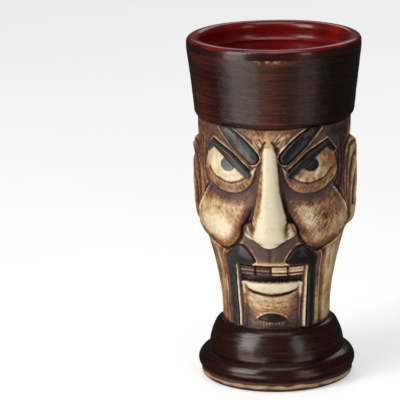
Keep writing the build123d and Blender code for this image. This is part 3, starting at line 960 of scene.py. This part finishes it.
def face_outwards(piece):
    """Merges the doubled points on the axis, and turns all faces to look out of the closed mesh."""
    work = bmesh.new()
    work.from_mesh(piece.data)
    on_axis = [v for v in work.verts if abs(v.co.x) < 1e-6 and abs(v.co.y) < 1e-6]
    bmesh.ops.remove_doubles(work, verts=on_axis, dist=1e-6)
    bmesh.ops.recalc_face_normals(work, faces=work.faces)
    work.to_mesh(piece.data)
    work.free()
    return piece


# ----- materials


class Paint:
    """A material built step by step. Every method returns an output socket."""

    def __init__(self, name):
        self.material = bpy.data.materials.new(name)
        self.material.use_nodes = True
        self.tree = self.material.node_tree
        self.shader = self.tree.nodes["Principled BSDF"]
        self.place = self.node("ShaderNodeTexCoord").outputs["Object"]

    def node(self, kind, **settings):
        made = self.tree.nodes.new(kind)
        for name, value in settings.items():
            setattr(made, name, value)
        return made

    def feed(self, node, key, value):
        """Links a socket to the input, or sets it to a number or colour."""
        if isinstance(value, bpy.types.NodeSocket):
            self.tree.links.new(value, node.inputs[key])
        else:
            node.inputs[key].default_value = value

    def attribute(self, name):
        return self.node("ShaderNodeAttribute", attribute_name=name).outputs["Fac"]

    def scaled(self, x, y, z):
        """Object places stretched differently along the three axes."""
        made = self.node("ShaderNodeMapping")
        self.feed(made, "Vector", self.place)
        self.feed(made, "Scale", (x, y, z))
        return made.outputs["Vector"]

    def noise(self, scale, detail=3, roughness=0.55, place=None, distortion=0):
        made = self.node("ShaderNodeTexNoise")
        keys = ("Vector", "Scale", "Detail", "Roughness", "Distortion")
        for key, value in zip(keys, (place or self.place, scale, detail, roughness, distortion)):
            self.feed(made, key, value)
        return made.outputs["Fac"]

    def math(self, operation, a, b):
        made = self.node("ShaderNodeMath", operation=operation)
        self.feed(made, 0, a)
        self.feed(made, 1, b)
        return made.outputs[0]

    def plus(self, *terms):
        total = terms[0]
        for term in terms[1:]:
            total = self.math("ADD", total, term)
        return total

    def times(self, a, b):
        return self.math("MULTIPLY", a, b)

    def span(self, value, low, high, to_low=0, to_high=1):
        """Maps low..high smoothly to to_low..to_high."""
        made = self.node("ShaderNodeMapRange", interpolation_type="SMOOTHSTEP")
        for key, number in zip(("From Min", "From Max", "To Min", "To Max"), (low, high, to_low, to_high)):
            self.feed(made, key, number)
        self.feed(made, "Value", value)
        return made.outputs["Result"]

    def ramp(self, value, stops):
        made = self.node("ShaderNodeValToRGB")
        stair = made.color_ramp.elements
        while len(stair) < len(stops):
            stair.new(0.5)
        for element, (at, colour) in zip(stair, stops):
            element.position = at
            element.color = (*colour, 1)
        self.feed(made, "Fac", value)
        return made.outputs["Color"]

    def mix(self, amount, a, b):
        made = self.node("ShaderNodeMix", data_type="RGBA")
        self.feed(made, "Factor", amount)
        self.feed(made, 6, a)
        self.feed(made, 7, b)
        return made.outputs[2]

    def bump(self, height, strength, distance):
        made = self.node("ShaderNodeBump")
        self.feed(made, "Height", height)
        self.feed(made, "Strength", strength)
        self.feed(made, "Distance", distance)
        return made.outputs["Normal"]

    def finish(self, colour, roughness, normal=None, coat=0, coat_roughness=0.1, ior=1.5):
        keys = ("Base Color", "Roughness", "IOR", "Coat Weight", "Coat Roughness")
        for key, value in zip(keys, (colour, roughness, ior, coat, coat_roughness)):
            self.feed(self.shader, key, value)
        if normal:
            self.feed(self.shader, "Normal", normal)
        return self.material


def strokes(paint, direction, ink, width, length):
    """Fine hand-cut lines: noise drawn out along the strokes, as strong as the ink. Sizes are in mm."""
    laid = paint.node("ShaderNodeAttribute", attribute_name=direction).outputs["Vector"]
    drawn_out = paint.node("ShaderNodeVectorMath", operation="MULTIPLY")
    paint.feed(drawn_out, 0, laid)
    paint.feed(drawn_out, 1, (1 / length, 1 / width, 1))
    place = drawn_out.outputs[0]
    line = paint.span(paint.noise(1, 3, 0.6, place=place, distortion=0.2), 0.44, 0.7)
    return paint.times(line, paint.attribute(ink))


# ramps as (place, colour), then single colours
STAIN = [
    (0, (0.76, 0.66, 0.46)),
    (0.14, (0.61, 0.46, 0.255)),
    (0.3, (0.42, 0.235, 0.092)),
    (0.46, (0.205, 0.08, 0.028)),
    (0.64, (0.084, 0.032, 0.021)),
    (0.82, (0.026, 0.012, 0.011)),
    (1, (0.006, 0.005, 0.005)),
]
BROWN = [
    (0.3, (0.007, 0.0024, 0.0018)),
    (0.43, (0.019, 0.0046, 0.0028)),
    (0.56, (0.048, 0.0098, 0.0045)),
    (0.7, (0.115, 0.026, 0.008)),
    (0.88, (0.3, 0.095, 0.026)),
]
RED = [(0.25, (0.105, 0.0022, 0.003)), (0.55, (0.21, 0.004, 0.0042)), (0.8, (0.33, 0.011, 0.0066))]
TAN = [(0.3, (0.3, 0.17, 0.085)), (0.7, (0.46, 0.29, 0.16))]
PURPLISH = (0.112, 0.066, 0.060, 1)
BLACK = (0.011, 0.011, 0.013, 1)
WORN_BLACK = (0.060, 0.045, 0.036, 1)
THIN_GLAZE_AND_SHEEN_GREY = (0.260, 0.270, 0.268, 1)
ORANGE_CHIP = (0.48, 0.17, 0.06, 1)
WIPED_BROWN = (0.055, 0.020, 0.013, 1)


def stained_cream(name, hatched):
    """Cream glaze with brown stain lying in its hollows and cut lines, and painted shade in the hollows as
    well.
    """
    paint = Paint(name)
    stain_and_shade = paint.attribute("stain_and_shade")
    cloud = paint.math("SUBTRACT", paint.noise(95, 4, 0.6), 0.5)
    grain = paint.math("SUBTRACT", paint.noise(620, 3, 0.65), 0.5)
    total = paint.plus(stain_and_shade, paint.times(cloud, 0.6), paint.times(grain, 0.46))
    cut = None
    if hatched:
        rise = strokes(paint, "rise", "rise_ink", 0.62, 4.2)
        fall = strokes(paint, "fall", "fall_ink", 0.6, 5)
        level = strokes(paint, "level", "level_ink", 0.52, 4.5)
        cut = paint.plus(rise, fall, level)
        total = paint.plus(total, paint.times(cut, 0.52))
    total = paint.math("MAXIMUM", total, 0)
    speck = paint.span(paint.noise(900, 2, 0.5), 0.7, 0.76)
    total = paint.plus(total, paint.times(speck, 0.28))
    colour = paint.ramp(total, STAIN)
    cast = paint.times(paint.attribute("mauve"), paint.span(total, 0.3, 0.62, 0, 0.62))
    colour = paint.mix(cast, colour, PURPLISH)
    rough = paint.plus(paint.span(total, 0, 0.9, 0.34, 0.46), paint.times(grain, 0.16))
    dents = paint.times(paint.noise(240, 4), 0.25)
    if cut:
        dents = paint.math("SUBTRACT", dents, cut)
    normal = paint.bump(dents, 0.6, 0.0004)
    return paint.finish(colour, rough, normal, coat=0.22, coat_roughness=0.22)


def black_glaze(name):
    """Thick black glaze, thinner and greyer along its edges, with faint brush dents."""
    paint = Paint(name)
    edge = paint.attribute("edge")
    cloud = paint.noise(160, 4, 0.6)
    worn = paint.times(edge, paint.span(cloud, 0.35, 0.7))
    colour = paint.mix(worn, BLACK, WORN_BLACK)
    # Painted grey sheen, partly thinner glaze, where the sheen attribute asks.
    tint = paint.span(paint.noise(110, 4, 0.6), 0.35, 0.7, 0.35, 1)
    colour = paint.mix(paint.times(tint, paint.attribute("sheen")), colour, THIN_GLAZE_AND_SHEEN_GREY)
    rough = paint.span(paint.noise(330, 4, 0.6), 0.25, 0.8, 0.2, 0.36)
    normal = paint.bump(paint.noise(260, 4, 0.6), 0.25, 0.0003)
    return paint.finish(colour, rough, normal, coat=0.08, coat_roughness=0.12, ior=1.38)


def brown_layers(paint):
    """Mahogany glaze brushed round the mug: streaks, darker pools and worn orange spots."""
    level = paint.scaled(1, 1, 22)
    streak = paint.noise(30, 5, 0.6, place=level)
    fine = paint.noise(75, 4, 0.65, place=level)
    pool = paint.noise(30, 3, 0.5)
    tone = paint.plus(paint.times(streak, 0.36), paint.times(fine, 0.32))
    tone = paint.math("SUBTRACT", tone, 0.09)
    # The warm attribute: a redder tone that is partly the glaze's own and partly painted light.
    tone = paint.plus(tone, paint.times(pool, 0.3), paint.times(paint.attribute("warm"), 0.17))
    colour = paint.ramp(tone, BROWN)
    rough = paint.span(fine, 0.25, 0.75, 0.17, 0.31)
    dents = paint.plus(paint.times(streak, 0.6), fine)
    return colour, rough, dents


def brown_glaze(name, brushed):
    """Mahogany glaze with orange chips where the attribute asks. Brushed is how deep the brush lines are."""
    paint = Paint(name)
    colour, rough, dents = brown_layers(paint)
    chip = paint.times(paint.attribute("chips"), paint.span(paint.noise(300, 4), 0.54, 0.7))
    colour = paint.mix(chip, colour, ORANGE_CHIP)
    normal = paint.bump(dents, brushed, 0.0004)
    return paint.finish(colour, rough, normal, coat=0.15, coat_roughness=0.14)


def red_layers(paint):
    colour = paint.ramp(paint.noise(60, 4, 0.6), RED)
    rough = paint.span(paint.noise(210, 3), 0.2, 0.8, 0.22, 0.34)
    return colour, rough


def red_glaze(name):
    """Saturated red glaze, a little uneven."""
    paint = Paint(name)
    colour, rough = red_layers(paint)
    normal = paint.bump(paint.noise(120, 3), 0.18, 0.0004)
    return paint.finish(colour, rough, normal, coat=0.3, coat_roughness=0.1)


def lip_glaze(name):
    """Red over the lip, running unevenly into the hat's brown on the outer side."""
    paint = Paint(name)
    red, _ = red_layers(paint)
    brown, _, dents = brown_layers(paint)
    edge = paint.plus(paint.attribute("brown"), paint.times(paint.noise(300, 3), 0.5))
    mask = paint.span(edge, 0.48, 0.98)
    colour = paint.mix(mask, red, brown)
    normal = paint.bump(dents, 0.15, 0.0004)
    return paint.finish(colour, 0.24, normal, coat=0.4, coat_roughness=0.09)


def bare_clay(name):
    """Unglazed tan clay with brown streaks wiped across it."""
    paint = Paint(name)
    level = paint.scaled(1, 1, 11)
    smear = paint.noise(75, 5, 0.65, place=level)
    pits = paint.noise(700, 3, 0.6)
    wiped = paint.times(paint.math("SUBTRACT", smear, 0.5), 1.9)
    edge = paint.plus(paint.attribute("stain"), wiped)
    tan = paint.ramp(paint.noise(150, 4), TAN)
    colour = paint.mix(paint.span(edge, 0.3, 0.72), tan, WIPED_BROWN)
    rough = paint.span(pits, 0.2, 0.8, 0.62, 0.82)
    normal = paint.bump(pits, 0.35, 0.0003)
    return paint.finish(colour, rough, normal)


# ----- the pieces


def place_piece(piece, material, slot, *nodes):
    face_outwards(piece).data.materials.append(material)
    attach(piece, "root")
    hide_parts(*nodes)
    return piece


def build_head(cream):
    nodes = ["head_shell", "nose", "lower_lip"]
    nodes += [f"{side}_{part}" for side in SIDES for part in ("eyeball", "lower_lid", "cheek", "ear")]
    place_piece(head_skin(), cream, "cream_glaze", *nodes)


def slab_crown(x, z, gap):
    """A brow's top: gently crowned, with a few shallow dents."""
    return 0.35 * step(0, 2.6, gap) + 0.1 * np.sin(x * 0.9) * np.sin(z * 0.7)


def moustache_crown(x, z, gap):
    """Fuller in the blob than down the tail."""
    return 0.5 * step(0.3, 4, gap) * step(60, 66, z) + 0.05 * np.sin(z * 0.6)


BLACK_PLATES = [  # feature, edge's rounding, height over the CAD face, painted grey sheen on the figure's right, shape of the top
    ("eyebrow", 0.8, -0.4, 0.38, slab_crown),
    ("upper_lid", 0.6, 0.4, 0.18, None),
    ("pupil", 0.4, 0.7, 1, None),
    ("moustache", 0.5, -0.6, 0.14, moustache_crown),
]


def build_black_features(black):
    """The black plates. Those of the figure's right, towards the light, are greyer: partly thinner glaze,
    partly painted sheen.
    """
    for feature, rounding, raised, grey, crown in BLACK_PLATES:
        stand = STANDS[feature] + raised
        for side, sign, sheen in zip(SIDES, (1, -1), (0, grey)):
            name = f"{side}_{feature}"
            piece = plate("glazed_" + name, feature, sign, stand, rounding, shape=crown, sheen=sheen)
            place_piece(piece, black, "black_glaze", name)
    stand = STANDS["soul_patch"] + 0.1
    piece = plate("glazed_soul_patch", "soul_patch", 1, stand, 0.4)
    place_piece(piece, black, "black_glaze", "soul_patch")


TEETH_GAPS = (-8.2, -0.2, 8.4)  # mm round from the middle
TEETH_LINE = 57.9


def teeth_shape(x, z, gap):
    """Gaps between the teeth, and a long groove along them."""
    gaps = sum(hump(x - at, 0.42) for at in TEETH_GAPS)
    lines = hump(z - TEETH_LINE, 0.36) + 0.5 * hump(z - TEETH_LINE - 1.9, 0.25)
    return -0.8 * unit(gaps) - 0.6 * lines


def teeth_wash(x, z, gap):
    """Bright on the figure's left, stained on its right, dark in the gaps."""
    gaps = sum(hump(x - at, 0.5) for at in TEETH_GAPS) + hump(z - TEETH_LINE, 0.42)
    gaps = unit(gaps + 0.35 * hump(z - TEETH_LINE - 1.9, 0.22))
    streaks = 0.26 * (hump(z - TEETH_LINE - 1.2, 0.45) + hump(z - TEETH_LINE + 0.9, 0.35))
    tone = np.where(x > 0, 0.08, 0.66 - streaks)
    return tone * (1 - gaps) + 0.88 * gaps + 0.4 * np.exp(-gap / 0.3)


TEETH_ROOT = -2.6  # mm, at the back of the mouth's pocket


def build_teeth(cream):
    stand = STANDS["upper_teeth"]
    piece = plate("teeth_row", "upper_teeth", 1, stand, 0.35, TEETH_ROOT, teeth_shape, teeth_wash)
    place_piece(piece, cream, "cream_glaze", "upper_teeth")


def outer_only(node, depth):
    """1 on points near the node's largest radius at their height, 0 on its inner surfaces."""
    outline = section(node)
    rows = np.linspace(outline[:, 1].min(), outline[:, 1].max(), 60)
    reach = [outline[np.abs(outline[:, 1] - z) < 2.5, 0].max(initial=0) for z in rows]
    return lambda radius, height: step(-depth - 1.5, -depth, radius - np.interp(height, rows, reach))


def from_front(turn):
    """An angle round the mug, from -pi to pi."""
    return (turn + pi) % (2 * pi) - pi


def build_hat(brown):
    """The flared hat with a slightly wavy wall and lower edge."""
    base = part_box("hat_band")[0].z / MM
    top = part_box("hat_band")[1].z / MM
    outer = outer_only("hat_band", 4)

    def shift(turn, radius, height):
        mask = outer(radius, height) * step(0, 3, top - height)
        wave = 0.16 * ripple(31, turn, height, 10, 0.12) + 0.05 * ripple(32, turn, height, 30, 0.9, 14)
        sag = 0.4 * ripple(33, turn, height * 0, 7, 0) * step(5, 0, height - base)
        return mask * wave, mask * np.minimum(sag, 0.15)

    def chips(turn, radius, height):
        return hump(from_front(turn), 0.25) * step(2.2, 0.4, top - height) * step(41, 41.6, radius)

    # Redder glaze, partly its own tone and partly painted light: redder at the front between the highlights
    # and far round on the lit side, darker on the shaded side, and lighter just under the lip, where a
    # reflection would be.
    def warm(turn, radius, height):
        turn = from_front(turn)
        bands = hump(turn - 0.02, 0.24) + 0.7 * hump(turn + 1.05, 0.35)
        foot = 0.5 * step(5, 0.5, height - base) * hump(turn, 0.5)
        crown = 0.6 * step(5, 1, top - height) * hump(turn, 0.8)
        return np.clip(bands - 0.3 * step(0.45, 0.9, turn) + foot + crown, -0.25, 1.2)

    piece = spun("hat_wall", section("hat_band"), 300, shift, {"chips": chips, "warm": warm})
    place_piece(piece, brown, "brown_glaze", "hat_band")


def build_lip(material):
    """The rounded lip, and where its red gives way to the hat's brown."""
    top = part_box("rim_lip")[1].z / MM
    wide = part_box("rim_lip")[1].x / MM

    def shift(turn, radius, height):
        waver = 0.1 * ripple(42, turn, height * 0, 6, 0) - 0.08
        return 0.05 * ripple(41, turn, height, 14, 0.3), waver * step(3, 0, top - height)

    def brown(turn, radius, height):
        line = top - 1.35 + 0.35 * ripple(43, turn, height * 0, 22, 0, 12)
        return step(wide - 4.2, wide - 2, radius) * step(1.1, -1, height - line)

    # Painted light: the lip's brown redder at the front than at the back.
    def warm(turn, radius, height):
        return 0.25 * np.cos(turn)

    piece = spun("hat_lip", section("rim_lip"), 300, shift, {"brown": brown, "warm": warm}, longest=0.5)
    place_piece(piece, material, "red_glaze", "rim_lip")


def build_liner(red):
    """The inside, with the low ridge that runs round it a little way down."""
    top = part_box("rim_lip")[1].z / MM
    ridge = top - 8.5

    def shift(turn, radius, height):
        inner = step(20, 30, radius)
        return -0.45 * hump(height - ridge, 0.9) * inner, 0 * height

    piece = spun("inner_glaze", section("liner_glaze"), 200, shift, None, longest=1.4)
    place_piece(piece, red, "red_glaze", "liner_glaze")


def build_base(brown, clay):
    """The two rounded rings, the wiped band that the mug stands on, and its underside."""
    for number, node in enumerate(("upper_base_ring", "lower_base_ring")):
        outer = outer_only(node, 6)

        def shift(turn, radius, height, seed=50 + 10 * number, outer=outer):
            wave = 0.16 * ripple(seed, turn, height, 9, 0.2)
            wave += 0.05 * ripple(seed + 1, turn, height, 26, 0.8, 12)
            return outer(radius, height) * wave, 0 * height

        # Redder towards the front: partly the glaze's tone, partly painted light between the highlights.
        def warm(turn, radius, height):
            turn = from_front(turn)
            return 0.35 * hump(turn + 0.15, 0.7)

        piece = spun(node + "_body", section(node), 300, shift, {"warm": warm})
        place_piece(piece, brown, "brown_glaze", node)
    band_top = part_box("foot_ring")[1].z / MM

    def stain(turn, radius, height):
        ragged = band_top - 1.3 + 0.4 * ripple(71, turn, height * 0, 22, 0, 16)
        low = step(2.2, 1.2, height)
        smeared = 0.14 + 0.45 * unit(ripple(72, turn, height, 30, 1.6, 18))
        return unit(step(-0.6, 0.6, height - ragged) + low + smeared)

    for node, name in (("foot_ring", "foot_band"), ("floor_disc", "underside_disc")):
        fields = {"stain": stain if node == "foot_ring" else (lambda t, r, h: 0.25 + 0 * t)}
        piece = spun(name, section(node), 300, None, fields, longest=0.7 if node == "foot_ring" else 2.5)
        place_piece(piece, clay, "bare_clay", node)


# ----- studio

CAMERA_AZIMUTH = 4.5  # degrees from straight ahead, towards the viewer's right
CAMERA_HEIGHT = 14.07  # degrees above the horizontal
CAMERA_DISTANCE = 1.3619  # metres from the mug's middle
CAMERA_LENS = 249.7  # mm, on a sensor 36 mm wide
CAMERA_SENSOR = 36
CAMERA_ROLL = -0.577
MUG_RIGHT = 0.1883  # the mug's middle stands right of the frame's, as a share of its width
MUG_DOWN = 0.012


def towards(azimuth, height):
    """The direction that lies so many degrees round from the front and above the horizontal."""
    around, above = radians(azimuth), radians(height)
    return Vector((sin(around) * cos(above), -cos(around) * cos(above), sin(above)))


def build_camera():
    back = towards(CAMERA_AZIMUTH, CAMERA_HEIGHT)
    middle = Vector((0, 0, (CAD_BOX[0][2] + CAD_BOX[1][2]) / 2))
    right = Vector((0, 0, 1)).cross(back).normalized()
    above = back.cross(right)
    roll = radians(CAMERA_ROLL)
    level = right * cos(roll) + above * sin(roll)
    upright = above * cos(roll) - right * sin(roll)
    aim = -back * CAMERA_LENS - level * MUG_RIGHT * CAMERA_SENSOR + upright * MUG_DOWN * CAMERA_SENSOR
    aim.normalize()
    level = aim.cross(upright).normalized()
    upright = level.cross(aim)
    camera = bpy.data.cameras.new("camera")
    camera.lens = CAMERA_LENS
    camera.sensor_width = CAMERA_SENSOR
    camera.clip_start = 0.05
    holder = bpy.data.objects.new("camera", camera)
    turn = Matrix((level, upright, -aim)).transposed().to_4x4()
    holder.matrix_world = Matrix.Translation(middle + back * CAMERA_DISTANCE) @ turn
    bpy.context.scene.camera = link(holder)


LIGHTS_AIM = 0.09  # metres above the floor


def softbox(name, azimuth, height, distance, width, tall, watts, colour=(1, 1, 1)):
    """An area light that looks at the mug's middle."""
    light = bpy.data.lights.new(name, "AREA")
    light.shape = "RECTANGLE"
    light.size = width
    light.size_y = tall
    light.energy = watts
    light.color = colour
    back = towards(azimuth, height)
    holder = bpy.data.objects.new(name, light)
    holder.location = Vector((0, 0, LIGHTS_AIM)) + back * distance
    holder.rotation_euler = back.to_track_quat("Z", "Y").to_euler()
    holder.visible_camera = False
    link(holder)


ROOM_GLOW = 0.25  # the white room's light on matt surfaces
ROOM_REFLECTED = 0.03  # and in reflections, where the real room was dark


def build_lights():
    warm = (1, 0.84, 0.76)
    softbox("key", -48, 28, 1.1, 0.52, 0.95, 6.6)
    softbox("fill", 46, 14, 1.2, 0.3, 0.8, 1.3)
    softbox("low_left", -46, 0, 0.34, 0.18, 0.13, 0.18, warm)
    softbox("table_left", -38, -26, 0.6, 0.44, 0.24, 1.05, warm)
    softbox("table_right", 50, -26, 0.6, 0.28, 0.24, 0.28, warm)
    softbox("top", 0, 80, 1.3, 0.9, 0.9, 3.6)
    softbox("behind", 178, 34, 1.5, 1, 0.6, 2)
    world = bpy.data.worlds.new("studio")
    bpy.context.scene.world = world
    world.use_nodes = True
    tree = world.node_tree
    path = tree.nodes.new("ShaderNodeLightPath")
    glow = tree.nodes["Background"]
    glow.inputs["Color"].default_value = (0.95, 0.97, 1, 1)
    glow.inputs["Strength"].default_value = ROOM_GLOW
    for ray, strength in (("Is Glossy Ray", ROOM_REFLECTED), ("Is Camera Ray", 1)):
        other = tree.nodes.new("ShaderNodeBackground")
        other.inputs["Color"].default_value = (1, 1, 1, 1)
        other.inputs["Strength"].default_value = strength
        choice = tree.nodes.new("ShaderNodeMixShader")
        tree.links.new(path.outputs[ray], choice.inputs["Fac"])
        tree.links.new(glow.outputs[0], choice.inputs[1])
        tree.links.new(other.outputs[0], choice.inputs[2])
        glow = choice
    tree.links.new(glow.outputs[0], tree.nodes["World Output"].inputs["Surface"])
    bpy.context.scene.view_settings.view_transform = "Standard"


FLOOR_GLOW = 0.45  # keeps the far floor pale, as a lit white sweep is


def build_floor():
    """A pale floor disc, wide enough to fill the view."""
    paint = Paint("pale_floor")
    tone = paint.ramp(paint.noise(6, 2), [(0.3, (0.86, 0.86, 0.86)), (0.7, (0.9, 0.9, 0.9))])
    paint.feed(paint.shader, "Emission Color", (1, 1, 1, 1))
    paint.feed(paint.shader, "Emission Strength", FLOOR_GLOW)
    material = paint.finish(tone, 0.6)
    work = bmesh.new()
    bmesh.ops.create_circle(work, cap_ends=True, segments=96, radius=6)
    mesh = bpy.data.meshes.new("floor")
    work.to_mesh(mesh)
    work.free()
    floor = bpy.data.objects.new("floor", mesh)
    floor.location.z = CAD_BOX[0][2]
    mesh.materials.append(material)
    floor.visible_glossy = False
    link(floor)


def build_mug():
    cream = stained_cream("stained_cream", True)
    hat_brown = brown_glaze("mahogany_glaze", 0.75)
    base_brown = brown_glaze("base_glaze", 0.22)
    build_head(cream)
    build_black_features(black_glaze("black_glaze"))
    build_teeth(stained_cream("stained_teeth", False))
    build_hat(hat_brown)
    build_lip(lip_glaze("lip_glaze"))
    build_liner(red_glaze("red_glaze"))
    build_base(base_brown, bare_clay("bare_clay"))


build_camera()
build_lights()
build_floor()
build_mug()
